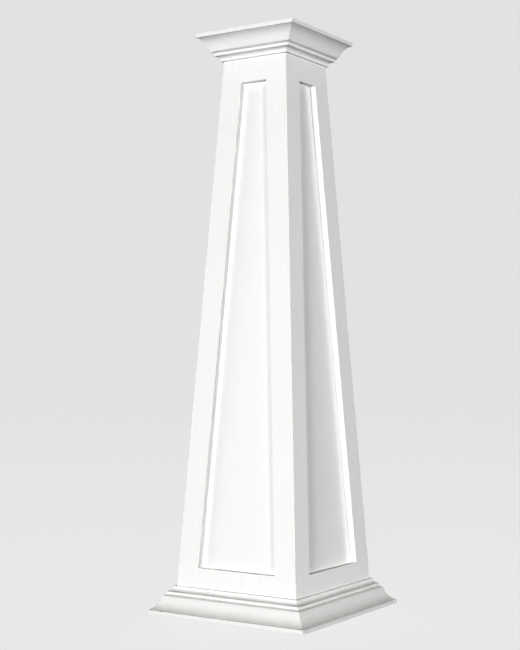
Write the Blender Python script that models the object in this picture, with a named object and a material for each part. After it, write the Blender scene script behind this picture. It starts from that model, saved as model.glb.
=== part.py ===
"""Tapered porch column wrap: four mitred face frames with sunk panels, a base and a crown moulding."""

import math

import bmesh
import bpy

# Shaft, outside sizes in metres (+Z up, the origin on the floor at the middle)
HEIGHT = 1.8288  # 72 in from the floor to the beam
FOOT_WIDTH = 0.4540  # 17 7/8 in across the shaft at the floor
HEAD_WIDTH = 0.2254  # 8 7/8 in across the shaft at the beam
BOARD = 0.0191  # 3/4 in board of the face frames
FIT_GAP = 0.0003  # clearance between neighbouring pieces

# Window of each face frame, measured on the outer face
STILE = 0.0762  # 3 in, the same all the way up
FOOT_RAIL = 0.1455  # 5 3/4 in from the floor to the window
HEAD_RAIL = 0.1609  # 6 3/8 in from the window to the beam

# Sheet behind each window
SHEET = 0.0095  # 3/8 in
SHEET_LAP = 0.0254  # 1 in glued behind the frame all round

# Heights of the moulding's members, from the lip to the thin end: 3 11/32 in in all
LIP_HEIGHT = 0.0125
CYMA_HEIGHT = 0.0427
SPLAY_HEIGHT = 0.0043
BAND_HEIGHT = 0.0086
COVE_HEIGHT = 0.0107
END_HEIGHT = 0.0059

# How far the moulding's members stand out from the shaft
LIP_REACH = 0.0649  # 2 9/16 in
LIP_QUIRK = 0.0027  # step in behind the lip
BAND_REACH = 0.0226
SPLAY_RUN = 0.0084  # the cyma ends this far in front of the band
END_THICKNESS = 0.0076

# Flats at the moulding's hollow back
WALL_LANDING = 0.0150  # glued to the shaft at the thin end
LIP_SEAT = 0.0140  # width of the lip's end face

# Shape of the cyma, as shares of its own run and height
COVE_PULL = (0.72, 0.27)
ROLL_PULL = (0.21, 0.29)
CYMA_STEPS = 14
COVE_STEPS = 7

SIDES = ("front", "right", "back", "left")
QUARTER_TURN = math.radians(90.0)

FOOT_HALF = FOOT_WIDTH / 2.0
HEAD_HALF = HEAD_WIDTH / 2.0
TAPER = (FOOT_HALF - HEAD_HALF) / HEIGHT
LEAN = math.atan(TAPER)
MOULDING_HEIGHT = LIP_HEIGHT + CYMA_HEIGHT + SPLAY_HEIGHT + BAND_HEIGHT + COVE_HEIGHT + END_HEIGHT


def clear_scene():
    """Remove whatever the file opened with."""
    for thing in list(bpy.data.objects):
        bpy.data.objects.remove(thing, do_unlink=True)


def new_collection(name):
    """Add a collection to the scene."""
    collection = bpy.data.collections.new(name)
    bpy.context.scene.collection.children.link(collection)
    return collection


def paint(name, color, roughness):
    """White paint on cellular PVC."""
    material = bpy.data.materials.new(name)
    material.use_nodes = True
    shader = material.node_tree.nodes["Principled BSDF"]
    shader.inputs["Base Color"].default_value = (*color, 1.0)
    shader.inputs["Roughness"].default_value = roughness
    shader.inputs["Metallic"].default_value = 0.0
    return material


def shaft_half(height):
    """Half of the shaft's outside width at a height."""
    return FOOT_HALF - TAPER * height


def flat_mesh(name, loops, thickness):
    """Closed plate from flat outlines: the first loop is the edge, the others are openings."""
    curve = bpy.data.curves.new(name, "CURVE")
    curve.dimensions = "2D"
    curve.fill_mode = "BOTH"
    curve.extrude = thickness / 2.0
    for loop in loops:
        spline = curve.splines.new("POLY")
        spline.points.add(len(loop) - 1)
        for point, (x, y) in zip(spline.points, loop):
            point.co = (x, y, 0.0, 1.0)
        spline.use_cyclic_u = True
    outline = bpy.data.objects.new(name, curve)
    bpy.context.scene.collection.objects.link(outline)
    depsgraph = bpy.context.evaluated_depsgraph_get()
    mesh = bpy.data.meshes.new_from_object(outline.evaluated_get(depsgraph))
    mesh.name = name
    bpy.data.objects.remove(outline)
    bpy.data.curves.remove(curve)
    shell = bmesh.new()
    shell.from_mesh(mesh)
    bmesh.ops.remove_doubles(shell, verts=shell.verts, dist=0.00001)
    bmesh.ops.recalc_face_normals(shell, faces=shell.faces)
    shell.to_mesh(mesh)
    shell.free()
    return mesh


def add_piece(name, mesh, collection, side, material=None):
    """Put a mesh in the scene as one named piece of a side."""
    piece = bpy.data.objects.new(name, mesh)
    collection.objects.link(piece)
    piece.parent = side
    if material and not mesh.materials:
        mesh.materials.append(material)
    return piece


def mitre(piece, wedge):
    """Cut a piece at both corners of its side, and level at the floor and the beam."""
    cut = piece.modifiers.new("mitre", "BOOLEAN")
    cut.operation = "INTERSECT"
    cut.object = wedge
    cut.solver = "EXACT"


def wedge_mesh():
    """The quarter of the plan that one side may fill, half a gap inside both diagonals."""
    reach = FOOT_HALF + LIP_REACH + BOARD
    apex = -FIT_GAP / math.sqrt(2.0)
    plan = [(0.0, apex), (-reach, apex - reach), (reach, apex - reach)]
    return flat_mesh("quarter_wedge", [plan], HEIGHT)


def along_face(height):
    """Distance up the leaning face at which it reaches a height."""
    return height / math.cos(LEAN)


def face_trapezoid(low, high, margin):
    """Corners, on the leaning face, of the shaft's outline between two heights, moved out by a margin."""
    low_half = shaft_half(low) + margin
    high_half = shaft_half(high) + margin
    return [
        (-low_half, along_face(low)),
        (low_half, along_face(low)),
        (high_half, along_face(high)),
        (-high_half, along_face(high)),
    ]


def frame_mesh():
    """Face frame before its mitres: one board with a tapering window."""
    edge = face_trapezoid(-BOARD, HEIGHT + BOARD, BOARD)
    window = face_trapezoid(FOOT_RAIL, HEIGHT - HEAD_RAIL, -STILE)
    return flat_mesh("face_frame", [edge, window], BOARD)


def panel_mesh():
    """Sheet that closes the window from behind and laps onto the frame."""
    edge = face_trapezoid(FOOT_RAIL - SHEET_LAP, HEIGHT - HEAD_RAIL + SHEET_LAP, SHEET_LAP - STILE)
    return flat_mesh("recessed_panel", [edge], SHEET)


def stand_on_face(piece, depth):
    """Lean a flat piece with the shaft, its middle a depth behind the outer face."""
    piece.rotation_euler = (QUARTER_TURN - LEAN, 0.0, 0.0)
    piece.location = (0.0, depth * math.cos(LEAN) - FOOT_HALF, -depth * math.sin(LEAN))


def cyma(start, end):
    """Points of the double curve, hollow below the lip and round above the splay."""
    run = start[0] - end[0]
    rise = end[1] - start[1]
    first_pull = (start[0] - COVE_PULL[0] * run, start[1] + COVE_PULL[1] * rise)
    last_pull = (end[0] + ROLL_PULL[0] * run, end[1] - ROLL_PULL[1] * rise)
    points = []
    for step in range(CYMA_STEPS + 1):
        t = step / CYMA_STEPS
        weights = ((1 - t) ** 3, 3 * t * (1 - t) ** 2, 3 * t * t * (1 - t), t ** 3)
        corners = (start, first_pull, last_pull, end)
        points.append(tuple(sum(w * c[axis] for w, c in zip(weights, corners)) for axis in (0, 1)))
    return points


def quarter_cove(start, end):
    """Points of a quarter ellipse that leaves the start sideways and meets the end upright."""
    points = []
    for step in range(COVE_STEPS + 1):
        angle = QUARTER_TURN * step / COVE_STEPS
        out = start[0] - (start[0] - end[0]) * math.sin(angle)
        along = end[1] - (end[1] - start[1]) * math.cos(angle)
        points.append((out, along))
    return points


def moulding_section(shaft_slope):
    """Section as (out from the shaft, away from the lip's end), its landing planed to the shaft."""
    lip_end = LIP_HEIGHT
    cyma_end = lip_end + CYMA_HEIGHT
    splay_end = cyma_end + SPLAY_HEIGHT
    band_end = splay_end + BAND_HEIGHT
    cove_end = band_end + COVE_HEIGHT
    section = [(LIP_REACH - LIP_SEAT, 0.0), (LIP_REACH, 0.0), (LIP_REACH, lip_end)]
    section += cyma((LIP_REACH - LIP_QUIRK, lip_end), (BAND_REACH + SPLAY_RUN, cyma_end))
    section.append((BAND_REACH, splay_end))
    section += quarter_cove((BAND_REACH, band_end), (END_THICKNESS, cove_end))
    section += [(END_THICKNESS, MOULDING_HEIGHT), (FIT_GAP, MOULDING_HEIGHT)]
    section.append((FIT_GAP + shaft_slope * WALL_LANDING, MOULDING_HEIGHT - WALL_LANDING))
    return section


def moulding_mesh(name, shaft_slope):
    """One length of the moulding before its mitres, longer than any side."""
    length = 2.0 * (FOOT_HALF + LIP_REACH + BOARD)
    return flat_mesh(name, [moulding_section(shaft_slope)], length)


def lay_moulding(piece, lip_height, up):
    """Lay a moulding along its side with its lip at a height; up is 1 on the floor and -1 at the beam."""
    piece.rotation_euler = (up * QUARTER_TURN, 0.0, -QUARTER_TURN)
    contact = shaft_half(lip_height + up * MOULDING_HEIGHT)
    piece.location = (0.0, -contact, lip_height)


def build():
    """Model every piece of the wrap, side by side."""
    clear_scene()
    parts = new_collection("porch_column_wrap")
    cutters = new_collection("mitre_cutters")
    board_paint = paint("face_board", (0.90, 0.90, 0.89), 0.45)
    sheet_paint = paint("panel_sheet", (0.89, 0.89, 0.88), 0.50)
    moulding_paint = paint("moulding_paint", (0.90, 0.90, 0.89), 0.40)

    wedge_shape = wedge_mesh()
    frame_shape = frame_mesh()
    panel_shape = panel_mesh()
    base_shape = moulding_mesh("base_moulding", TAPER)
    crown_shape = moulding_mesh("crown_moulding", -TAPER)

    for turn, side_name in enumerate(SIDES):
        side = bpy.data.objects.new(side_name + "_side", None)
        parts.objects.link(side)
        side.rotation_euler = (0.0, 0.0, turn * QUARTER_TURN)

        wedge = add_piece("wedge_" + side_name, wedge_shape, cutters, side)
        wedge.location = (0.0, 0.0, HEIGHT / 2.0)
        wedge.hide_render = True
        wedge.display_type = "WIRE"

        frame = add_piece("face_frame_" + side_name, frame_shape, parts, side, board_paint)
        stand_on_face(frame, BOARD / 2.0)
        mitre(frame, wedge)

        panel = add_piece("recessed_panel_" + side_name, panel_shape, parts, side, sheet_paint)
        stand_on_face(panel, BOARD + FIT_GAP + SHEET / 2.0)

        base = add_piece("base_moulding_" + side_name, base_shape, parts, side, moulding_paint)
        lay_moulding(base, 0.0, 1)
        mitre(base, wedge)

        crown = add_piece("crown_moulding_" + side_name, crown_shape, parts, side, moulding_paint)
        lay_moulding(crown, HEIGHT, -1)
        mitre(crown, wedge)


build()
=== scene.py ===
"""Looks of a tapered porch column wrap: painted cellular PVC boards, sunk sheets and mitred mouldings."""

import logging
import math
from dataclasses import dataclass
from enum import Enum
from typing import Any, Dict, List, Mapping, Optional, Sequence, Tuple, Union

import bmesh
import bpy
from mathutils import Matrix, Vector


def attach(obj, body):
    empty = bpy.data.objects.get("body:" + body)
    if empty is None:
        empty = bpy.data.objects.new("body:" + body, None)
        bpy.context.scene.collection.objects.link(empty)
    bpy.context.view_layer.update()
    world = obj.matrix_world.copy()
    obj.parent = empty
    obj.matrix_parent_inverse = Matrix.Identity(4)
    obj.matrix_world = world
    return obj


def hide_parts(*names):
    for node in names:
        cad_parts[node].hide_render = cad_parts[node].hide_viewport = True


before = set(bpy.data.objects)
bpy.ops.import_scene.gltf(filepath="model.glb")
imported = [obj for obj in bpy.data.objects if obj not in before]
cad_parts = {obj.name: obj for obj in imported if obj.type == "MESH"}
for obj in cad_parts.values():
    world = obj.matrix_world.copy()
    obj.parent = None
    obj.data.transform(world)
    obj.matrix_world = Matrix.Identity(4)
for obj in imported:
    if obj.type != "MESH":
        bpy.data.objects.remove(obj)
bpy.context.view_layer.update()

Axes = Tuple[float, float, float]
Colour = Tuple[float, float, float]
SectionPoint = Tuple[float, float]
Socket = bpy.types.NodeSocket

LOG = logging.getLogger("porch_column_wrap")
BODY = "root"
LEVEL_TOLERANCE = 0.0001
QUARTER_TURN = math.radians(90.0)
SHARP_ANGLE = math.radians(30.0)

# Paint
UPWARDS: Axes = (1.0, 1.0, 0.12)  # laps laid off up the column
SIDEWAYS: Axes = (0.12, 0.12, 1.0)  # laps laid off along a moulding
DUST_COLOUR: Colour = (0.62, 0.60, 0.56)
DUST_DULLS = 0.4  # roughness that full dust adds
WAVE_RATE = 10.0  # bands of the wave texture, at scale 1, in a length of pi
WAVER = {"Distortion": 1.5, "Detail": 1.0, "Detail Scale": 0.6}  # how a cutter's ripples stray

# Share of paint at a corner of the moulding's section; a face with less than the last is bare
COVER = "cover"
BARE, HALF_BARE, PAINTED, LEAST_PAINTED = 0.0, 0.5, 1.0, 0.6


class Side(Enum):
    """The four faces, in turning order seen from above."""

    FRONT = 0
    RIGHT = 1
    BACK = 2
    LEFT = 3

    @property
    def label(self) -> str:
        """The side's word in node and piece names."""
        return self.name.lower()

    @property
    def turn(self) -> Matrix:
        """Turn that brings a piece made for the front to this side."""
        return Matrix.Rotation(QUARTER_TURN * self.value, 4, "Z")


class Place(Enum):
    """Where a moulding goes, and which way its section rises from the lip."""

    BASE = 1.0
    CROWN = -1.0

    @property
    def label(self) -> str:
        """The place's word in node and piece names."""
        return self.name.lower()


class Surface(Enum):
    """How a face of a board was left, as its material's index."""

    PAINTED = 0
    MILLED = 1
    RAW = 2


class NodeGraph:
    """Adds and wires the nodes of one tree."""

    def __init__(self, tree: bpy.types.NodeTree) -> None:
        """Start on the tree that the nodes go in."""
        self.tree = tree

    def feed(self, target: Socket, value: Any) -> None:
        """Link a socket to an input, or set the input to a value.

        Args:
            target: The input.
            value: A value, or the socket to link from.
        """
        if isinstance(value, Socket):
            self.tree.links.new(value, target)
        else:
            target.default_value = value

    def add(self, kind: str, inputs: Optional[Mapping[Union[str, int], Any]] = None,
            **settings: Any) -> bpy.types.Node:
        """Add one node.

        Args:
            kind: The node's type name.
            inputs: Sockets by name or number, each with a value or a socket to link from.
            settings: The node's own properties.

        Returns:
            The new node.
        """
        node = self.tree.nodes.new(kind)
        for name, value in settings.items():
            setattr(node, name, value)
        for key, value in (inputs or {}).items():
            self.feed(node.inputs[key], value)
        return node

    def combine(self, prefix: str, operation: str, *values: Any) -> Socket:
        """Work out a number, with the prefix "Math", or a vector, with "VectorMath"."""
        return self.add("ShaderNode" + prefix, dict(enumerate(values)), operation=operation).outputs[0]

    def number(self, operation: str, *values: Any) -> Socket:
        """Work out a number."""
        return self.combine("Math", operation, *values)

    def ramp(self, value: Socket, low: float, high: float, start: float = 0.0) -> Socket:
        """Turn a number between low and high smoothly into one between start and 1."""
        inputs = {"Value": value, "From Min": low, "From Max": high, "To Min": start, "To Max": 1.0}
        return self.add("ShaderNodeMapRange", inputs, interpolation_type="SMOOTHSTEP").outputs["Result"]

    def noise(self, vector: Socket, scale: Any, detail: float, roughness: float = 0.5) -> Socket:
        """Read smooth noise, each finer layer of which keeps a share (its roughness) of the last."""
        inputs = {"Vector": vector, "Scale": scale, "Detail": detail, "Roughness": roughness}
        return self.add("ShaderNodeTexNoise", inputs).outputs[0]

    def bump(self, height: Socket, depth: float, under: Optional[Socket] = None,
             strength: float = 1.0) -> Socket:
        """Turn a height into a normal.

        Args:
            height: The height, from 0 to 1.
            depth: Depth of the relief, in metres.
            under: The normal that it is laid on, if any.
            strength: Strength of the effect.

        Returns:
            The normal's socket.
        """
        inputs: Dict[str, Any] = {"Height": height, "Distance": depth, "Strength": strength}
        if under is not None:
            inputs["Normal"] = under
        return self.add("ShaderNodeBump", inputs).outputs["Normal"]

    def blend(self, share: Any, first: Any, second: Any) -> Socket:
        """Mix two colours.

        Args:
            share: How much of the second there is.
            first: A colour or its socket.
            second: A colour or its socket.

        Returns:
            The mixed colour's socket.
        """
        node = self.add("ShaderNodeMix", data_type="RGBA")
        for name, value in (("Factor", share), ("A", first), ("B", second)):
            target = next(socket for socket in node.inputs if socket.name == name and socket.enabled)
            self.feed(target, value)
        return next(socket for socket in node.outputs if socket.enabled)


def rgba(colour: Colour) -> Tuple[float, float, float, float]:
    """A colour with full cover."""
    return (*colour, 1.0)


def new_tree(name: str, kind: str, inputs: Mapping[str, str],
             outputs: Mapping[str, str]) -> Tuple[NodeGraph, bpy.types.NodeOutputs]:
    """Start a node group with named sockets.

    Args:
        name: The group's name.
        kind: The tree's type name.
        inputs: The word of each input's type.
        outputs: The word of each output's type.

    Returns:
        The graph, and its inputs' sockets.
    """
    tree = bpy.data.node_groups.new(name, kind)
    for direction, sockets in (("INPUT", inputs), ("OUTPUT", outputs)):
        for label, word in sockets.items():
            tree.interface.new_socket(label, in_out=direction, socket_type="NodeSocket" + word)
    graph = NodeGraph(tree)
    return graph, graph.add("NodeGroupInput").outputs


class Effects:
    """Shader groups that more than one finish uses, each built once.

    A pair of numbers is the span of a noise or a slope over which an effect sets in.
    """

    DRIFT_SCALE = 3.1
    THIN_LAPS = (0.42, 0.66)
    THIN_AREAS = (0.35, 0.65)
    DRY_LAPS = (0.3, 0.7)
    LAP_HEIGHT = 0.6
    LAP_ROUGHNESS = 0.6
    MOTTLE_SCALE = 34.0
    OPEN_CELLS = (0.32, 0.12)
    CELL_PATCHES = (0.35, 0.6)
    FEWEST_CELLS = 0.35
    PATCH_SCALE = 22.0
    PATCH_ROUGHNESS = 0.6
    LOOKING_UP = (0.25, 0.95)
    DUSTY_PATCHES = (0.3, 0.62)
    LEAST_DUST = 0.45

    def __init__(self) -> None:
        """Build all the groups."""
        self.paint_skin = self._paint_skin()
        self.foam_cells = self._foam_cells()
        self.settled_dust = self._settled_dust()

    def _paint_skin(self) -> bpy.types.NodeTree:
        """Satin paint with a fine stipple, long laps and a faint drift of tone.

        Returns:
            The group.
        """
        graph, given = new_tree(
            "paint_skin", "ShaderNodeTree",
            {"Vector": "Vector", "Paint": "Color", "Thin Paint": "Color", "Stipple Size": "Float",
             "Lap Size": "Float", "Laid Off": "Vector", "Glossy": "Float", "Dull": "Float"},
            {"Colour": "Color", "Roughness": "Float", "Height": "Float"})
        vector = given["Vector"]
        drawn_out = graph.combine("VectorMath", "MULTIPLY", vector, given["Laid Off"])
        stipple = graph.noise(vector, graph.number("DIVIDE", 1.0, given["Stipple Size"]), detail=2.0)
        lap_scale = graph.number("DIVIDE", 1.0, given["Lap Size"])
        laps = graph.noise(drawn_out, lap_scale, detail=3.0, roughness=self.LAP_ROUGHNESS)
        drift = graph.noise(vector, self.DRIFT_SCALE, detail=2.0)
        thin = graph.number("MULTIPLY", graph.ramp(laps, *self.THIN_LAPS),
                            graph.ramp(drift, *self.THIN_AREAS))
        dry = graph.ramp(laps, *self.DRY_LAPS)
        drier = graph.number("SUBTRACT", given["Dull"], given["Glossy"])
        graph.add("NodeGroupOutput", {
            "Colour": graph.blend(thin, given["Paint"], given["Thin Paint"]),
            "Roughness": graph.number("MULTIPLY_ADD", dry, drier, given["Glossy"]),
            "Height": graph.number("MULTIPLY_ADD", laps, self.LAP_HEIGHT, stipple)})
        return graph.tree

    def _foam_cells(self) -> bpy.types.NodeTree:
        """Sawn or moulded cellular PVC: closed cells opened by the blade, in a dull body.

        Returns:
            The group.
        """
        graph, given = new_tree(
            "foam_cells", "ShaderNodeTree",
            {"Vector": "Vector", "Body": "Color", "Cell": "Color", "Cell Size": "Float"},
            {"Colour": "Color", "Height": "Float"})
        vector = given["Vector"]
        cell_scale = graph.number("DIVIDE", 1.0, given["Cell Size"])
        cells = graph.add("ShaderNodeTexVoronoi", {"Vector": vector, "Scale": cell_scale}).outputs
        mottle = graph.noise(vector, self.MOTTLE_SCALE, detail=3.0)
        opened = graph.number("MULTIPLY", graph.ramp(cells["Distance"], *self.OPEN_CELLS),
                              graph.ramp(mottle, *self.CELL_PATCHES, self.FEWEST_CELLS))
        graph.add("NodeGroupOutput", {
            "Colour": graph.blend(opened, given["Body"], given["Cell"]),
            "Height": graph.number("SUBTRACT", 1.0, opened)})
        return graph.tree

    def _settled_dust(self) -> bpy.types.NodeTree:
        """A breath of dust on whatever looks up, patchy and thickest on the flats.

        Returns:
            The group.
        """
        graph, given = new_tree(
            "settled_dust", "ShaderNodeTree",
            {"Vector": "Vector", "Colour": "Color", "Dust": "Color", "Amount": "Float"},
            {"Colour": "Color", "Mask": "Float"})
        normal = graph.add("ShaderNodeNewGeometry").outputs["Normal"]
        facing_up = graph.add("ShaderNodeSeparateXYZ", {0: normal}).outputs["Z"]
        patches = graph.noise(given["Vector"], self.PATCH_SCALE, detail=4.0, roughness=self.PATCH_ROUGHNESS)
        mask = graph.number("MULTIPLY", graph.ramp(facing_up, *self.LOOKING_UP),
                            graph.ramp(patches, *self.DUSTY_PATCHES, self.LEAST_DUST))
        mask = graph.number("MULTIPLY", mask, given["Amount"])
        graph.add("NodeGroupOutput", {
            "Colour": graph.blend(mask, given["Colour"], given["Dust"]), "Mask": mask})
        return graph.tree


def start_material(name: str) -> Tuple[bpy.types.Material, NodeGraph, bpy.types.NodeInputs, Socket]:
    """Begin a material that reads object coordinates.

    Args:
        name: The material's name.

    Returns:
        The material, its graph, the sockets of its Principled BSDF and the coordinates' socket.
    """
    material = bpy.data.materials.new(name)
    material.use_nodes = True
    graph = NodeGraph(material.node_tree)
    shader = material.node_tree.nodes["Principled BSDF"]
    return material, graph, shader.inputs, graph.add("ShaderNodeTexCoord").outputs["Object"]


@dataclass(frozen=True)
class PaintFinish:
    """White satin paint over cellular PVC.

    Attributes:
        name: The material's name.
        paint: Colour of the full coat.
        thin_paint: Colour where the coat is thin.
        glossy: Roughness of the smoothest laps.
        dull: Roughness of the driest laps.
        stipple: Width of one dot of the roller's stipple, in metres.
        lap: Width of one lap of the brush, in metres.
        laid_off: Squeeze of the laps along each axis, small where the brush ran.
        relief: Height of the paint's own relief, in metres.
        dust: Share of dust on what looks up.
        ripple: Spacing of a cutter's ripples under the paint, in metres, or 0 for none.
        ripple_depth: Depth of those ripples, in metres.
    """

    name: str
    paint: Colour = (0.835, 0.835, 0.828)
    thin_paint: Colour = (0.822, 0.822, 0.814)
    glossy: float = 0.44
    dull: float = 0.58
    stipple: float = 0.0016
    lap: float = 0.016
    laid_off: Axes = UPWARDS
    relief: float = 0.00020
    dust: float = 0.30
    ripple: float = 0.0
    ripple_depth: float = 0.00005

    def material(self, effects: Effects) -> bpy.types.Material:
        """Build the material.

        Args:
            effects: The shared shader groups.

        Returns:
            The material.
        """
        material, graph, shader, place = start_material(self.name)
        skin = graph.add("ShaderNodeGroup", {
            "Vector": place, "Paint": rgba(self.paint), "Thin Paint": rgba(self.thin_paint),
            "Stipple Size": self.stipple, "Lap Size": self.lap, "Laid Off": self.laid_off,
            "Glossy": self.glossy, "Dull": self.dull}, node_tree=effects.paint_skin).outputs
        dust = graph.add("ShaderNodeGroup", {
            "Vector": place, "Colour": skin["Colour"], "Dust": rgba(DUST_COLOUR), "Amount": self.dust},
            node_tree=effects.settled_dust).outputs
        normal = graph.bump(skin["Height"], self.relief)
        if self.ripple:
            wave = graph.add("ShaderNodeTexWave", {
                "Vector": place, "Scale": math.pi / (WAVE_RATE * self.ripple), **WAVER},
                wave_type="BANDS", bands_direction="Z").outputs[0]
            normal = graph.bump(wave, self.ripple_depth, normal)
        graph.feed(shader["Base Color"], dust["Colour"])
        graph.feed(shader["Roughness"],
                   graph.number("MULTIPLY_ADD", dust["Mask"], DUST_DULLS, skin["Roughness"]))
        graph.feed(shader["Normal"], normal)
        return material


@dataclass(frozen=True)
class FoamFinish:
    """Bare cellular PVC, as on sawn ends, backs and glued faces.

    Attributes:
        name: The material's name.
        body: Colour of the solid skin.
        cell: Colour inside an opened cell.
        cell_size: Distance between cells, in metres.
        roughness: Roughness all over.
        relief: Depth of a cell, in metres.
    """

    name: str
    body: Colour = (0.74, 0.74, 0.725)
    cell: Colour = (0.60, 0.60, 0.58)
    cell_size: float = 0.0011
    roughness: float = 0.72
    relief: float = 0.0002

    def material(self, effects: Effects) -> bpy.types.Material:
        """Build the material.

        Args:
            effects: The shared shader groups.

        Returns:
            The material.
        """
        material, graph, shader, place = start_material(self.name)
        cells = graph.add("ShaderNodeGroup", {
            "Vector": place, "Body": rgba(self.body), "Cell": rgba(self.cell), "Cell Size": self.cell_size},
            node_tree=effects.foam_cells).outputs
        graph.feed(shader["Base Color"], cells["Colour"])
        graph.feed(shader["Normal"], graph.bump(cells["Height"], self.relief))
        graph.feed(shader["Roughness"], self.roughness)
        return material


class Finishes:
    """Every material of the wrap."""

    def __init__(self, effects: Effects) -> None:
        """Build all the materials.

        Args:
            effects: The shared shader groups.
        """
        self.board = PaintFinish("board_paint").material(effects)
        self.milled = PaintFinish("milled_edge_paint", dull=0.62, ripple=0.0021).material(effects)
        self.sheet = PaintFinish(
            "sheet_paint", (0.830, 0.832, 0.826), stipple=0.0013, lap=0.022).material(effects)
        self.moulding = PaintFinish(
            "moulding_paint", glossy=0.40, dull=0.52, lap=0.010, laid_off=SIDEWAYS).material(effects)
        self.caulk = PaintFinish("painted_caulk", glossy=0.30, dull=0.42, relief=0.00010).material(effects)
        self.adhesive = PaintFinish(
            "set_adhesive", (0.80, 0.77, 0.68), (0.76, 0.73, 0.63), glossy=0.28, dull=0.42,
            stipple=0.004, relief=0.0003, dust=0.15).material(effects)
        self.raw_board = FoamFinish("raw_board").material(effects)
        self.raw_moulding = FoamFinish(
            "raw_moulding", (0.76, 0.76, 0.74), cell_size=0.0008, roughness=0.6).material(effects)

    @property
    def of_board(self) -> Tuple[bpy.types.Material, ...]:
        """A face frame's materials, in the order of Surface."""
        return self.board, self.milled, self.raw_board

    @property
    def of_sheet(self) -> Tuple[bpy.types.Material, ...]:
        """A sheet's materials, in the order of Surface."""
        return self.sheet, self.sheet, self.raw_board


def closed_mesh(name: str, points: Sequence[Vector], faces: Sequence[Sequence[int]],
                surfaces: Sequence[Surface], materials: Sequence[bpy.types.Material]) -> bpy.types.Mesh:
    """Make a closed mesh whose faces look outwards.

    Args:
        name: The mesh's name.
        points: Corners, in metres.
        faces: Corner numbers of each face.
        surfaces: How each face was left.
        materials: Materials in the order of Surface.

    Returns:
        The mesh.
    """
    mesh = bpy.data.meshes.new(name)
    mesh.from_pydata([tuple(point) for point in points], [], [tuple(face) for face in faces])
    for material in materials:
        mesh.materials.append(material)
    for polygon, surface in zip(mesh.polygons, surfaces):
        polygon.material_index = surface.value
    turn_outwards(mesh)
    return mesh


def turn_outwards(mesh: bpy.types.Mesh) -> None:
    """Turn every face of a closed mesh outwards and shade it smooth.

    Args:
        mesh: The mesh, with no doubled points.
    """
    shell = bmesh.new()
    shell.from_mesh(mesh)
    bmesh.ops.recalc_face_normals(shell, faces=shell.faces)
    shell.to_mesh(mesh)
    shell.free()
    mesh.shade_smooth()


def run_tree(name: str, source: bpy.types.Mesh, tree: bpy.types.NodeTree,
             inputs: Mapping[str, Any]) -> bpy.types.Mesh:
    """Run a geometry tree on a mesh and keep the result as a plain mesh.

    Args:
        name: The result's name.
        source: The mesh that the tree starts from.
        tree: The geometry tree.
        inputs: The tree's inputs by name.

    Returns:
        The result.
    """
    carrier = bpy.data.objects.new(name, source)
    bpy.context.scene.collection.objects.link(carrier)
    modifier = carrier.modifiers.new(tree.name, "NODES")
    modifier.node_group = tree
    sockets = {item.name: item.identifier for item in tree.interface.items_tree if item.in_out == "INPUT"}
    for label, value in inputs.items():
        modifier[sockets[label]] = value
    depsgraph = bpy.context.evaluated_depsgraph_get()
    mesh = bpy.data.meshes.new_from_object(carrier.evaluated_get(depsgraph))
    mesh.name = name
    bpy.data.objects.remove(carrier)
    bpy.data.meshes.remove(source)
    return mesh


def put(name: str, mesh: bpy.types.Mesh, side: Side,
        node: Optional[str] = None) -> bpy.types.Object:
    """Turn a front mesh to its side and make it a piece of the wrap.

    Args:
        name: The piece's name.
        mesh: The mesh as made for the front.
        side: Where it goes.
        node: The CAD node that it stands for, if any.

    Returns:
        The piece.
    """
    mesh.transform(side.turn)
    piece = bpy.data.objects.new(name, mesh)
    bpy.context.scene.collection.objects.link(piece)
    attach(piece, BODY)
    if node:
        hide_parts(node)
    LOG.info("%s: %d faces", name, len(mesh.polygons))
    return piece


def ease_edges(piece: bpy.types.Object, width: float, segments: int) -> None:
    """Round a piece's sharp edges a little, and keep its flats flat to the light.

    Args:
        piece: The piece.
        width: How far the rounding reaches from an edge, in metres.
        segments: Facets of the rounding.
    """
    bevel = piece.modifiers.new("eased_edges", "BEVEL")
    bevel.width = width
    bevel.segments = segments
    bevel.limit_method = "ANGLE"
    bevel.angle_limit = SHARP_ANGLE
    flats = piece.modifiers.new("flat_faces", "WEIGHTED_NORMAL")
    flats.keep_sharp = True


@dataclass(frozen=True)
class Shaft:
    """The tapering square that every piece is set out from.

    Attributes:
        height: From the floor to the beam.
        foot_half: Half of the outside width at the floor.
        head_half: Half of the outside width at the beam.
        gap: Joint between neighbouring pieces.
    """

    height: float
    foot_half: float
    head_half: float
    gap: float = 0.0003

    @classmethod
    def from_frame(cls) -> "Shaft":
        """Read the shaft's sizes from the front face frame.

        Returns:
            The shaft.
        """
        corners = [vertex.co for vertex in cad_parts["face_frame_front"].data.vertices]
        low, high = min(co.z for co in corners), max(co.z for co in corners)
        foot, head = (-min(co.y for co in corners if abs(co.z - level) < LEVEL_TOLERANCE)
                      for level in (low, high))
        return cls(high - low, foot, head)

    @property
    def taper(self) -> float:
        """How much the half width shrinks for each metre up."""
        return (self.foot_half - self.head_half) / self.height

    @property
    def lean(self) -> float:
        """Angle of a face off the upright."""
        return math.atan(self.taper)

    @property
    def mitre_inset(self) -> float:
        """How far along its side a piece stops short of the corner's diagonal."""
        return self.gap / math.sqrt(2.0)

    def half(self, height: float) -> float:
        """Half of the outside width at a height."""
        return self.foot_half - self.taper * height

    def on_face(self, across: float, height: float, depth: float) -> Vector:
        """A point so far right of the outer face's middle, at a height on it, and square behind it."""
        out = self.half(height) - depth * math.cos(self.lean)
        return Vector((across, -out, height - depth * math.sin(self.lean)))


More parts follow.
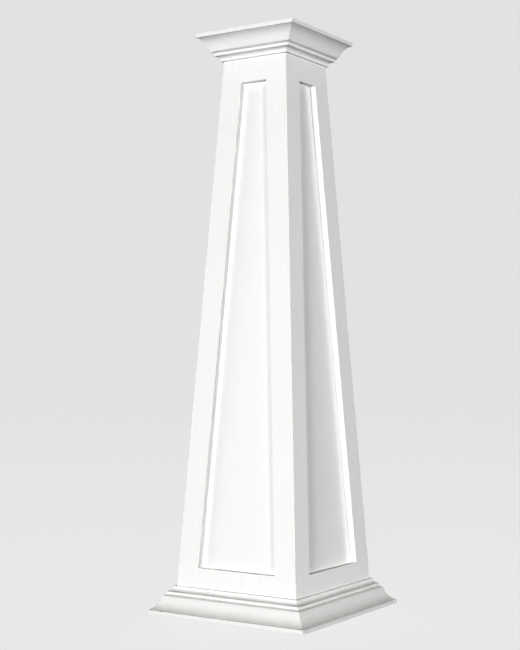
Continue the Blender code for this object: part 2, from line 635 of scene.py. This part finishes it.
@dataclass(frozen=True)
class SunkPanel:
    """One side's face frame, the sheet behind its window, and the beads that close and hold it.

    Attributes:
        shaft: The shaft's sizes.
        finishes: The wrap's materials.
        bead_tree: The adhesive's geometry tree.
        board: Thickness of the face frame.
        stile: Width of the frame beside the window.
        foot_rail: Frame from the floor to the window.
        head_rail: Frame from the window to the beam.
        sheet: Thickness of the sheet.
        lap: How far the sheet reaches behind the frame.
        ease: Rounding of the boards' edges.
        caulk: Radius of the caulk in the window's inner corner.
        caulk_steps: Facets of the caulk's hollow.
        adhesive: Radius of the adhesive round the sheet's back.
        adhesive_out: Its middle's distance from the sheet's edge, as a share of its radius.
        adhesive_back: Its middle's distance from the frame's back, as a share of its radius.
        unevenness: How much the adhesive swells and thins, as a share of its radius.
        adhesive_step: Distance between the rings of the adhesive.
        adhesive_sides: Facets round the adhesive.
        first_seed: Seed of the front bead; the others follow.
    """

    shaft: Shaft
    finishes: Finishes
    bead_tree: bpy.types.NodeTree
    board: float = 0.0191
    stile: float = 0.0762
    foot_rail: float = 0.1455
    head_rail: float = 0.1609
    sheet: float = 0.0095
    lap: float = 0.0254
    ease: float = 0.0006
    caulk: float = 0.0016
    caulk_steps: int = 6
    adhesive: float = 0.0040
    adhesive_out: float = 0.70
    adhesive_back: float = 0.75
    unevenness: float = 0.35
    adhesive_step: float = 0.009
    adhesive_sides: int = 10
    first_seed: int = 11

    def window(self, inset: float, depth: float) -> List[Vector]:
        """Corners of the window, or of a line round it.

        Args:
            inset: How far the line lies inside the window.
            depth: Distance behind the outer face.

        Returns:
            The four corners, from bottom left round to the right.
        """
        low, high = self.foot_rail + inset, self.shaft.height - self.head_rail - inset
        corners = []
        for sign, level in ((-1.0, low), (1.0, low), (1.0, high), (-1.0, high)):
            across = sign * (self.shaft.half(level) - self.stile - inset)
            corners.append(self.shaft.on_face(across, level, depth))
        return corners

    def outline(self, depth: float) -> List[Vector]:
        """Corners of the frame's mitred and levelled edge.

        Args:
            depth: Distance behind the outer face.

        Returns:
            The four corners, from bottom left round to the right.
        """
        top = self.shaft.height
        corners = []
        for sign, level in ((-1.0, 0.0), (1.0, 0.0), (1.0, top), (-1.0, top)):
            point = self.shaft.on_face(0.0, level + depth * math.sin(self.shaft.lean), depth)
            point.x = sign * (-point.y - self.shaft.mitre_inset)
            corners.append(point)
        return corners

    def frame_mesh(self, name: str) -> bpy.types.Mesh:
        """Model the face frame: a painted face, milled window edges, and bare mitres, ends and back.

        Args:
            name: The mesh's name.

        Returns:
            The mesh.
        """
        loops = [self.outline(0.0), self.window(0.0, 0.0), self.window(0.0, self.board),
                 self.outline(self.board)]
        left = (Surface.PAINTED, Surface.MILLED, Surface.RAW, Surface.RAW)
        return self._ring_mesh(name, loops, left, self.finishes.of_board)

    def sheet_mesh(self, name: str) -> bpy.types.Mesh:
        """Model the sheet: painted in front, bare on its edges and back.

        Args:
            name: The mesh's name.

        Returns:
            The mesh.
        """
        front = self.board + self.shaft.gap
        points = self.window(-self.lap, front) + self.window(-self.lap, front + self.sheet)
        edges = [(i, (i + 1) % 4, (i + 1) % 4 + 4, i + 4) for i in range(4)]
        faces = [(0, 1, 2, 3), (4, 5, 6, 7), *edges]
        left = [Surface.PAINTED] + [Surface.RAW] * 5
        return closed_mesh(name, points, faces, left, self.finishes.of_sheet)

    def caulk_mesh(self, name: str) -> bpy.types.Mesh:
        """Model the tooled caulk in the corner between the window's edge and the sheet.

        Args:
            name: The mesh's name.

        Returns:
            The mesh.
        """
        buried = self.shaft.gap
        floor = self.board + self.shaft.gap
        loops = []
        for step in range(self.caulk_steps + 1):
            angle = QUARTER_TURN * step / self.caulk_steps
            inset = self.caulk * (1.0 - math.cos(angle))
            loops.append(self.window(inset, floor - self.caulk * (1.0 - math.sin(angle))))
        loops += [self.window(self.caulk, floor + buried), self.window(-buried, floor + buried)]
        loops.append(self.window(-buried, floor - self.caulk))
        return self._ring_mesh(name, loops, [Surface.PAINTED] * len(loops), [self.finishes.caulk])

    def adhesive_mesh(self, name: str, seed: int) -> bpy.types.Mesh:
        """Model the gunned bead of adhesive where the sheet's edge meets the frame's back.

        Args:
            name: The mesh's name.
            seed: Seed of the bead's unevenness.

        Returns:
            The mesh.
        """
        path = bpy.data.meshes.new(name + "_path")
        corners = self.window(-self.lap - self.adhesive_out * self.adhesive,
                              self.board + self.adhesive_back * self.adhesive)
        path.from_pydata([tuple(corner) for corner in corners], [(i, (i + 1) % 4) for i in range(4)], [])
        bead = run_tree(name, path, self.bead_tree, {
            "Radius": self.adhesive, "Unevenness": self.unevenness, "Step": self.adhesive_step,
            "Sides": self.adhesive_sides, "Seed": seed, "Material": self.finishes.adhesive})
        bead.shade_smooth()
        return bead

    @staticmethod
    def _ring_mesh(name: str, loops: Sequence[Sequence[Vector]], surfaces: Sequence[Surface],
                   materials: Sequence[bpy.types.Material]) -> bpy.types.Mesh:
        """Join four-cornered loops, each to the next and the last to the first.

        Args:
            name: The mesh's name.
            loops: The loops, all from the same corner.
            surfaces: How the strip after each loop was left.
            materials: Materials in the order of Surface.

        Returns:
            The mesh.
        """
        points = [corner for loop in loops for corner in loop]
        faces, left = [], []
        for number, surface in enumerate(surfaces):
            after = (number + 1) % len(loops)
            for i in range(4):
                j = (i + 1) % 4
                faces.append((number * 4 + i, number * 4 + j, after * 4 + j, after * 4 + i))
                left.append(surface)
        return closed_mesh(name, points, faces, left, materials)

    def build(self, side: Side) -> None:
        """Make and dress one side.

        Args:
            side: Which side.
        """
        name = f"face_board_{side.label}"
        board = put(name, self.frame_mesh(name), side, f"face_frame_{side.label}")
        ease_edges(board, width=self.ease, segments=3)
        name = f"panel_sheet_{side.label}"
        sheet = put(name, self.sheet_mesh(name), side, f"recessed_panel_{side.label}")
        ease_edges(sheet, width=self.ease / 2.0, segments=2)
        name = f"window_caulk_{side.label}"
        put(name, self.caulk_mesh(name), side)
        name = f"sheet_adhesive_{side.label}"
        put(name, self.adhesive_mesh(name, self.first_seed + side.value), side)


@dataclass(frozen=True)
class MouldingSection:
    """The moulding's section, as distances out from the shaft and away from the lip's end.

    Attributes:
        lip_height: Height of the lip.
        cyma_height: Height of the double curve.
        splay_height: Height of the splay below the curve.
        band_height: Height of the upright band.
        cove_height: Height of the small cove.
        end_height: Height of the thin end.
        lip_reach: How far the lip stands out.
        lip_quirk: Step in behind the lip.
        band_reach: How far the band stands out.
        splay_run: How far the curve's end stands out from the band.
        end_thickness: How far the thin end stands out.
        wall_landing: Flat glued to the shaft.
        lip_seat: Width of the lip's end face.
        cove_pull: Reach of the curve's first handle, as shares of its run and height.
        roll_pull: Reach of the curve's last handle, as shares of its run and height.
        cyma_steps: Facets of the double curve.
        cove_steps: Facets of the small cove.
    """

    lip_height: float = 0.0125
    cyma_height: float = 0.0427
    splay_height: float = 0.0043
    band_height: float = 0.0086
    cove_height: float = 0.0107
    end_height: float = 0.0059
    lip_reach: float = 0.0649
    lip_quirk: float = 0.0027
    band_reach: float = 0.0226
    splay_run: float = 0.0084
    end_thickness: float = 0.0076
    wall_landing: float = 0.0150
    lip_seat: float = 0.0140
    cove_pull: SectionPoint = (0.72, 0.27)
    roll_pull: SectionPoint = (0.21, 0.29)
    cyma_steps: int = 30
    cove_steps: int = 14

    @property
    def height(self) -> float:
        """Height of the whole section."""
        return (self.lip_height + self.cyma_height + self.splay_height + self.band_height + self.cove_height
                + self.end_height)

    def cyma(self) -> List[SectionPoint]:
        """Points of the double curve, hollow behind the lip and round before the splay.

        Returns:
            The points, from the lip.
        """
        start = Vector((self.lip_reach - self.lip_quirk, self.lip_height))
        end = Vector((self.band_reach + self.splay_run, self.lip_height + self.cyma_height))
        run, rise = start.x - end.x, end.y - start.y
        first = start + Vector((-self.cove_pull[0] * run, self.cove_pull[1] * rise))
        last = end + Vector((self.roll_pull[0] * run, -self.roll_pull[1] * rise))
        points = []
        for step in range(self.cyma_steps + 1):
            t = step / self.cyma_steps
            point = ((1 - t) ** 3 * start + 3 * t * (1 - t) ** 2 * first + 3 * t * t * (1 - t) * last
                     + t ** 3 * end)
            points.append((point.x, point.y))
        return points

    def cove(self) -> List[SectionPoint]:
        """Points of the quarter-ellipse cove, from the band to the thin end.

        Returns:
            The points, from the band.
        """
        start = self.height - self.end_height - self.cove_height
        points = []
        for step in range(self.cove_steps + 1):
            angle = QUARTER_TURN * step / self.cove_steps
            out = self.band_reach - (self.band_reach - self.end_thickness) * math.sin(angle)
            points.append((out, start + self.cove_height * (1.0 - math.cos(angle))))
        return points

    def loop(self, name: str, gap: float, shaft_slope: float) -> bpy.types.Mesh:
        """The whole outline as a closed line, with the share of paint at each corner.

        Args:
            name: The line's name.
            gap: Joint between the moulding and the shaft.
            shaft_slope: How much the shaft swells for each metre towards the lip.

        Returns:
            The line.
        """
        splay_end = self.lip_height + self.cyma_height + self.splay_height
        front = [(self.lip_reach, 0.0), (self.lip_reach, self.lip_height), *self.cyma(),
                 (self.band_reach, splay_end), *self.cove(), (self.end_thickness, self.height)]
        back = [(gap, self.height), (gap + shaft_slope * self.wall_landing, self.height - self.wall_landing)]
        outline = [(self.lip_reach - self.lip_seat, 0.0), *front, *back]
        cover = [BARE, *[PAINTED] * len(front), HALF_BARE, BARE]
        line = bpy.data.meshes.new(name)
        edges = [(i, (i + 1) % len(outline)) for i in range(len(outline))]
        line.from_pydata([(out, away, 0.0) for out, away in outline], edges, [])
        line.attributes.new(COVER, "FLOAT", "POINT").data.foreach_set("value", cover)
        return line


@dataclass(frozen=True)
class MitredMoulding:
    """Four mitred lengths of moulding round the foot or the head.

    Attributes:
        shaft: The shaft's sizes.
        finishes: The wrap's materials.
        tree: The mitring geometry tree.
        place: At the foot or at the head.
        section: The moulding's section.
        ease: Rounding of the moulding's edges.
        rings: Rings along a length, with those at its ends.
    """

    shaft: Shaft
    finishes: Finishes
    tree: bpy.types.NodeTree
    place: Place
    section: MouldingSection = MouldingSection()
    ease: float = 0.0007
    rings: int = 12

    @property
    def lip_level(self) -> float:
        """Height of the lip's end."""
        return 0.0 if self.place is Place.BASE else self.shaft.height

    def length_mesh(self, name: str) -> bpy.types.Mesh:
        """Model the front length.

        Args:
            name: The mesh's name.

        Returns:
            The mesh.
        """
        rise = self.place.value
        loop = self.section.loop(name + "_section", self.shaft.gap, rise * self.shaft.taper)
        mesh = run_tree(name, loop, self.tree, {
            "Contact": self.shaft.half(self.lip_level + rise * self.section.height),
            "Mitre Inset": self.shaft.mitre_inset, "Lip Level": self.lip_level, "Rise": rise,
            "Rings": self.rings, "Paint": self.finishes.moulding, "Back": self.finishes.raw_moulding})
        turn_outwards(mesh)
        return mesh

    def build(self, side: Side) -> None:
        """Make and dress one length.

        Args:
            side: Which side.
        """
        name = f"{self.place.label}_length_{side.label}"
        node = f"{self.place.label}_moulding_{side.label}"
        length = put(name, self.length_mesh(name), side, node)
        ease_edges(length, width=self.ease, segments=3)


class Trees:
    """Geometry trees for what follows a path or a rule."""

    SAWN_END = 0.3  # least share of a face's normal that looks along the length
    BEAD_SCALE = 26.0
    BEAD_DETAIL = 2.0
    NOISE_MIDDLE = (0.5, 0.5, 0.5)

    def __init__(self) -> None:
        """Build both trees."""
        self.mitred_length = self._mitred_length()
        self.uneven_bead = self._uneven_bead()

    def _mitred_length(self) -> bpy.types.NodeTree:
        """Run a section along the front and stretch each line of it to the corner's diagonal.

        Returns:
            The tree.
        """
        graph, given = new_tree(
            "mitred_length", "GeometryNodeTree",
            {"Geometry": "Geometry", "Contact": "Float", "Mitre Inset": "Float", "Lip Level": "Float",
             "Rise": "Float", "Rings": "Int", "Paint": "Material", "Back": "Material"},
            {"Geometry": "Geometry"})
        line = graph.add("GeometryNodeCurvePrimitiveLine", {
            "Start": (0.0, 0.0, -1.0), "End": (0.0, 0.0, 1.0)})
        rings = graph.add("GeometryNodeResampleCurve", {"Curve": line.outputs[0], "Count": given["Rings"]})
        section = graph.add("GeometryNodeMeshToCurve", {"Mesh": given["Geometry"]})
        swept = graph.add("GeometryNodeCurveToMesh", {
            "Curve": rings.outputs[0], "Profile Curve": section.outputs[0], "Fill Caps": True})
        position = graph.add("GeometryNodeInputPosition").outputs[0]
        place = graph.add("ShaderNodeSeparateXYZ", {0: position}).outputs
        reach = graph.number("ADD", place["X"], given["Contact"])
        to_corner = graph.number("SUBTRACT", reach, given["Mitre Inset"])
        laid = graph.add("ShaderNodeCombineXYZ", {
            "X": graph.number("MULTIPLY", place["Z"], to_corner),
            "Y": graph.number("MULTIPLY", reach, -1.0),
            "Z": graph.number("MULTIPLY_ADD", place["Y"], given["Rise"], given["Lip Level"])})
        mitred = graph.add("GeometryNodeSetPosition", {
            "Geometry": swept.outputs[0], "Position": laid.outputs[0]})
        normal = graph.add("GeometryNodeInputNormal").outputs[0]
        facing_along = graph.number("ABSOLUTE", graph.add("ShaderNodeSeparateXYZ", {0: normal}).outputs["X"])
        sawn_end = graph.number("GREATER_THAN", facing_along, self.SAWN_END)
        cover = graph.add("GeometryNodeInputNamedAttribute", {"Name": COVER}, data_type="FLOAT")
        unpainted = graph.number("LESS_THAN", cover.outputs["Attribute"], LEAST_PAINTED)
        whole = graph.add("GeometryNodeRealizeInstances", {"Geometry": mitred.outputs[0]})
        painted = graph.add("GeometryNodeSetMaterial", {
            "Geometry": whole.outputs[0], "Material": given["Paint"]})
        backed = graph.add("GeometryNodeSetMaterial", {
            "Geometry": painted.outputs[0], "Selection": graph.number("MAXIMUM", sawn_end, unpainted),
            "Material": given["Back"]})
        cleared = graph.add("GeometryNodeRemoveAttribute", {"Geometry": backed.outputs[0], "Name": COVER})
        graph.add("NodeGroupOutput", {"Geometry": cleared.outputs[0]})
        return graph.tree

    def _uneven_bead(self) -> bpy.types.NodeTree:
        """A round bead that swells, thins and wanders a little along its path.

        Returns:
            The tree.
        """
        graph, given = new_tree(
            "uneven_bead", "GeometryNodeTree",
            {"Geometry": "Geometry", "Radius": "Float", "Unevenness": "Float", "Step": "Float",
             "Sides": "Int", "Seed": "Int", "Material": "Material"},
            {"Geometry": "Geometry"})
        path = graph.add("GeometryNodeMeshToCurve", {"Mesh": given["Geometry"]})
        even = graph.add("GeometryNodeResampleCurve", {"Curve": path.outputs[0], "Length": given["Step"]},
                         mode="LENGTH")
        noise = graph.add("ShaderNodeTexNoise", {
            "Vector": graph.add("GeometryNodeInputPosition").outputs[0], "W": given["Seed"],
            "Scale": self.BEAD_SCALE, "Detail": self.BEAD_DETAIL}, noise_dimensions="4D").outputs
        swing = graph.number("MULTIPLY_ADD", noise[0], 2.0, -1.0)
        swell = graph.number("MULTIPLY_ADD", swing, given["Unevenness"], 1.0)
        fat = graph.add("GeometryNodeSetCurveRadius", {"Curve": even.outputs[0], "Radius": swell})
        centred = graph.combine("VectorMath", "SUBTRACT", noise["Color"], self.NOISE_MIDDLE)
        drift = graph.add("ShaderNodeVectorMath", {0: centred, "Scale": given["Radius"]}, operation="SCALE")
        wandering = graph.add("GeometryNodeSetPosition", {
            "Geometry": fat.outputs[0], "Offset": drift.outputs[0]})
        ring = graph.add("GeometryNodeCurvePrimitiveCircle", {
            "Resolution": given["Sides"], "Radius": given["Radius"]})
        bead = graph.add("GeometryNodeCurveToMesh", {
            "Curve": wandering.outputs[0], "Profile Curve": ring.outputs[0], "Fill Caps": True})
        whole = graph.add("GeometryNodeRealizeInstances", {"Geometry": bead.outputs[0]})
        dressed = graph.add("GeometryNodeSetMaterial", {
            "Geometry": whole.outputs[0], "Material": given["Material"]})
        graph.add("NodeGroupOutput", {"Geometry": dressed.outputs[0]})
        return graph.tree


@dataclass(frozen=True)
class SoftLight:
    """One softbox.

    Attributes:
        name: The light's name.
        azimuth: Direction from the column, in degrees from the front towards the right.
        power: Power in watts.
        width: Width of the box.
        tall: Height of the box's window.
        distance: Distance from the column.
        height: Height of the box's middle.
        aim: Height that it points at.
    """

    name: str
    azimuth: float
    power: float
    width: float = 4.5
    tall: float = 1.8
    distance: float = 11.0
    height: float = 1.25
    aim: float = 0.95

    def build(self) -> bpy.types.Object:
        """Hang the light.

        Returns:
            The lamp.
        """
        turn = math.radians(self.azimuth)
        light = bpy.data.lights.new(self.name, "AREA")
        light.shape = "RECTANGLE"
        light.size = self.width
        light.size_y = self.tall
        light.energy = self.power
        lamp = bpy.data.objects.new(self.name, light)
        bpy.context.scene.collection.objects.link(lamp)
        lamp.location = (self.distance * math.sin(turn), -self.distance * math.cos(turn), self.height)
        lamp.rotation_mode = "QUATERNION"
        lamp.rotation_quaternion = (Vector((0.0, 0.0, self.aim)) - lamp.location).to_track_quat("-Z", "Y")
        lamp.visible_camera = False
        return lamp


@dataclass(frozen=True)
class Viewpoint:
    """The camera of the photograph, fitted to its straight edges.

    Attributes:
        distance: From the column's axis, over the floor.
        azimuth: Direction from the column, in degrees from the front towards the right.
        eye: Height of the lens.
        yaw: Turn to the left of straight at the axis, in degrees below zero to the right.
        pitch: Tilt up, in degrees.
        focal: Focal length, in pixels of the photograph.
        axis_x: Where the lens's axis meets the photograph, in pixels from the left.
        image: Width and height of the photograph, in pixels.
    """

    distance: float = 4.0782
    azimuth: float = 33.38
    eye: float = 0.7932
    yaw: float = -1.137
    pitch: float = 1.551
    focal: float = 1271.2
    axis_x: float = 300.25
    image: Tuple[int, int] = (520, 650)

    def build(self) -> None:
        """Set the camera up."""
        lens = bpy.data.cameras.new("camera")
        longest = max(self.image)
        lens.lens = self.focal * lens.sensor_width / longest
        lens.shift_x = (self.image[0] / 2.0 - self.axis_x) / longest
        camera = bpy.data.objects.new("camera", lens)
        bpy.context.scene.collection.objects.link(camera)
        turn, heading, tilt = (
            math.radians(angle) for angle in (self.azimuth, self.azimuth + self.yaw, self.pitch))
        camera.location = (self.distance * math.sin(turn), -self.distance * math.cos(turn), self.eye)
        ahead = Vector((-math.sin(heading) * math.cos(tilt), math.cos(heading) * math.cos(tilt),
                        math.sin(tilt)))
        camera.rotation_mode = "QUATERNION"
        camera.rotation_quaternion = ahead.to_track_quat("-Z", "Y")
        bpy.context.scene.camera = camera


@dataclass(frozen=True)
class Studio:
    """A pale round floor that sweeps up into its own backdrop, with soft light.

    Attributes:
        core_radius: Radius of the floor's first ring.
        floor_radius: Radius of the flat floor.
        sweep: Radius of the sweep between floor and wall.
        sweep_steps: Facets of the sweep.
        wall: Height of the wall above the sweep.
        turns: Facets of the round.
        paper_colour: What the paper gives back of the lights.
        paper_glow: What the paper, lit from behind, adds where the camera sees it.
        paper_roughness: Roughness of the paper.
        tooth_scale: Fineness of the paper's tooth.
        tooth_depth: Depth of the paper's tooth.
        ambient: Strength of the light from all round.
        contrast: Display gamma, below 1 for deeper half tones.
        column_lights: Lights on the column alone.
        paper_light: The light on the paper alone.
    """

    core_radius: float = 1.5
    floor_radius: float = 12.5
    sweep: float = 6.0
    sweep_steps: int = 20
    wall: float = 3.0
    turns: int = 96
    paper_colour: Colour = (0.06, 0.06, 0.06)
    paper_glow: Colour = (0.84, 0.84, 0.837)
    paper_roughness: float = 0.95
    tooth_scale: float = 900.0
    tooth_depth: float = 0.0001
    ambient: float = 0.08
    contrast: float = 0.62
    column_lights: Tuple[SoftLight, ...] = (
        SoftLight("key_box", 12.0, 1045.0, width=3.4),
        SoftLight("cross_box", 52.0, 345.0, width=2.5),
        SoftLight("edge_box", -68.0, 330.0),
        SoftLight("left_box", -104.0, 520.0),
        SoftLight("back_box", 196.0, 970.0, width=3.4),
        SoftLight("right_box", 106.0, 610.0),
        SoftLight("top_lamp", 0.0, 18.0, width=0.16, tall=0.16, distance=0.0, height=3.2),
    )
    paper_light: SoftLight = SoftLight(
        "paper_box", 0.0, 280.0, width=6.0, tall=6.0, distance=0.0, height=9.0)

    def lathe(self) -> bpy.types.Mesh:
        """Turn the floor's section round the column's axis.

        Returns:
            The backdrop's mesh.
        """
        section = [(0.0, 0.0), (self.core_radius, 0.0), (self.floor_radius, 0.0)]
        for step in range(1, self.sweep_steps + 1):
            angle = QUARTER_TURN * step / self.sweep_steps
            section.append((self.floor_radius + self.sweep * math.sin(angle),
                            self.sweep * (1.0 - math.cos(angle))))
        section.append((self.floor_radius + self.sweep, self.sweep + self.wall))
        shell = bmesh.new()
        line = [shell.verts.new((radius, 0.0, height)) for radius, height in section]
        edges = [shell.edges.new(pair) for pair in zip(line, line[1:])]
        bmesh.ops.spin(shell, geom=line + edges, cent=(0, 0, 0), axis=(0, 0, 1), angle=math.tau,
                       steps=self.turns)
        bmesh.ops.remove_doubles(shell, verts=shell.verts, dist=LEVEL_TOLERANCE)
        mesh = bpy.data.meshes.new("backdrop")
        shell.to_mesh(mesh)
        shell.free()
        mesh.shade_smooth()
        return mesh

    def paper(self) -> bpy.types.Material:
        """Matt paper with a faint tooth.

        Returns:
            The backdrop's material.
        """
        material, graph, shader, place = start_material("backdrop_paper")
        tooth = graph.noise(place, self.tooth_scale, detail=2.0)
        seen = graph.add("ShaderNodeLightPath").outputs["Is Camera Ray"]
        graph.feed(shader["Normal"], graph.bump(tooth, self.tooth_depth, strength=0.5))
        graph.feed(shader["Emission Color"], graph.blend(seen, rgba((0.0, 0.0, 0.0)), rgba(self.paper_glow)))
        graph.feed(shader["Emission Strength"], 1.0)
        graph.feed(shader["Base Color"], rgba(self.paper_colour))
        graph.feed(shader["Roughness"], self.paper_roughness)
        return material

    @staticmethod
    def light_group(name: str, lit: bpy.types.Object, state: str) -> bpy.types.Collection:
        """Group an object for a light that is to reach only it, or all but it.

        Args:
            name: The group's name.
            lit: The object.
            state: "INCLUDE" or "EXCLUDE".

        Returns:
            The group.
        """
        group = bpy.data.collections.new(name)
        group.objects.link(lit)
        group.collection_objects[0].light_linking.link_state = state
        return group

    def build(self) -> None:
        """Lay the floor, and light and view the column."""
        mesh = self.lathe()
        mesh.materials.append(self.paper())
        backdrop = bpy.data.objects.new("backdrop", mesh)
        bpy.context.scene.collection.objects.link(backdrop)
        world = bpy.data.worlds.new("soft_room")
        world.use_nodes = True
        room = world.node_tree.nodes["Background"].inputs
        room["Color"].default_value = rgba((1.0, 1.0, 1.0))
        room["Strength"].default_value = self.ambient
        bpy.context.scene.world = world
        bpy.context.scene.view_settings.view_transform = "Standard"
        bpy.context.scene.view_settings.gamma = self.contrast
        all_but_paper = self.light_group("all_but_paper", backdrop, "EXCLUDE")
        for light in self.column_lights:
            light.build().light_linking.receiver_collection = all_but_paper
        paper_only = self.light_group("paper_only", backdrop, "INCLUDE")
        self.paper_light.build().light_linking.receiver_collection = paper_only
        Viewpoint().build()


def main() -> None:
    """Dress the wrap, side by side, and set up the studio."""
    logging.basicConfig(level=logging.INFO, format="%(name)s: %(message)s")
    finishes = Finishes(Effects())
    trees = Trees()
    shaft = Shaft.from_frame()
    panel = SunkPanel(shaft, finishes, trees.uneven_bead)
    mouldings = [MitredMoulding(shaft, finishes, trees.mitred_length, place) for place in Place]
    for side in Side:
        panel.build(side)
        for moulding in mouldings:
            moulding.build(side)
    Studio().build()


if __name__ == "__main__":
    main()
